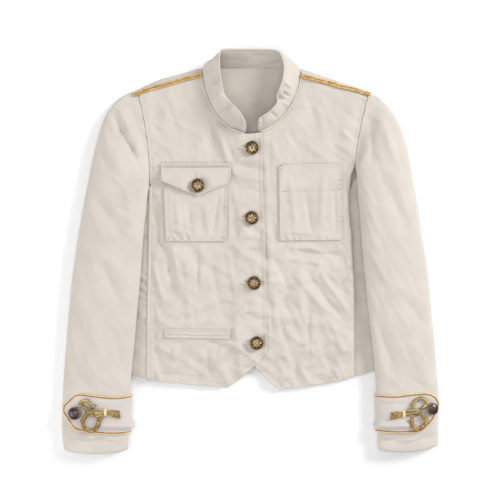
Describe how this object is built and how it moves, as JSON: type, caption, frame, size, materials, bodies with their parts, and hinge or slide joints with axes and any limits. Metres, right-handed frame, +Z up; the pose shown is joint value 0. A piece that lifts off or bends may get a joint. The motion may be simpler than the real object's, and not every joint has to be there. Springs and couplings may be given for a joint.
{
  "type": "blazer",
  "caption": "Cropped stand-collar cotton twill blazer with gilt shoulder cords, chest pockets and corded cuff tabs, buttoned and laid flat on its back",
  "frame": {"origin": "middle of the bounding box, on the surface that the garment lies on", "axes": "+Z up out of the surface, +Y toward the neck, +X toward the wearer's left sleeve"},
  "size_m": [0.6027, 0.6461, 0.039],
  "materials": {
    "ecru_twill": "matte cotton twill",
    "white_twill": "matte cotton twill",
    "gilt_cord": "satin metallic yarn",
    "antique_brass": "antiqued and polished on the raised parts"
  },
  "bodies": {
    "root": {"back": "ecru_twill", "band_left": "white_twill", "band_right": "white_twill", "binding_left": "gilt_cord", "binding_right": "gilt_cord", "bundle_left": "gilt_cord", "bundle_right": "gilt_cord", "button_1": "antique_brass", "button_2": "antique_brass", "button_3": "antique_brass", "button_4": "antique_brass", "button_cuff_left": "antique_brass", "button_cuff_right": "antique_brass", "button_flap": "antique_brass", "collar": "ecru_twill", "cord_left": "gilt_cord", "cord_right": "gilt_cord", "front_left": "ecru_twill", "front_right": "ecru_twill", "loop_lower_left": "gilt_cord", "loop_lower_right": "gilt_cord", "loop_upper_left": "gilt_cord", "loop_upper_right": "gilt_cord", "patch_pocket": "ecru_twill", "piping_left": "gilt_cord", "piping_right": "gilt_cord", "pocket_body": "ecru_twill", "pocket_flap": "ecru_twill", "sleeve_left": "ecru_twill", "sleeve_right": "ecru_twill", "tassel_left": "gilt_cord", "tassel_right": "gilt_cord", "welt": "ecru_twill"}
  },
  "joints": []
}
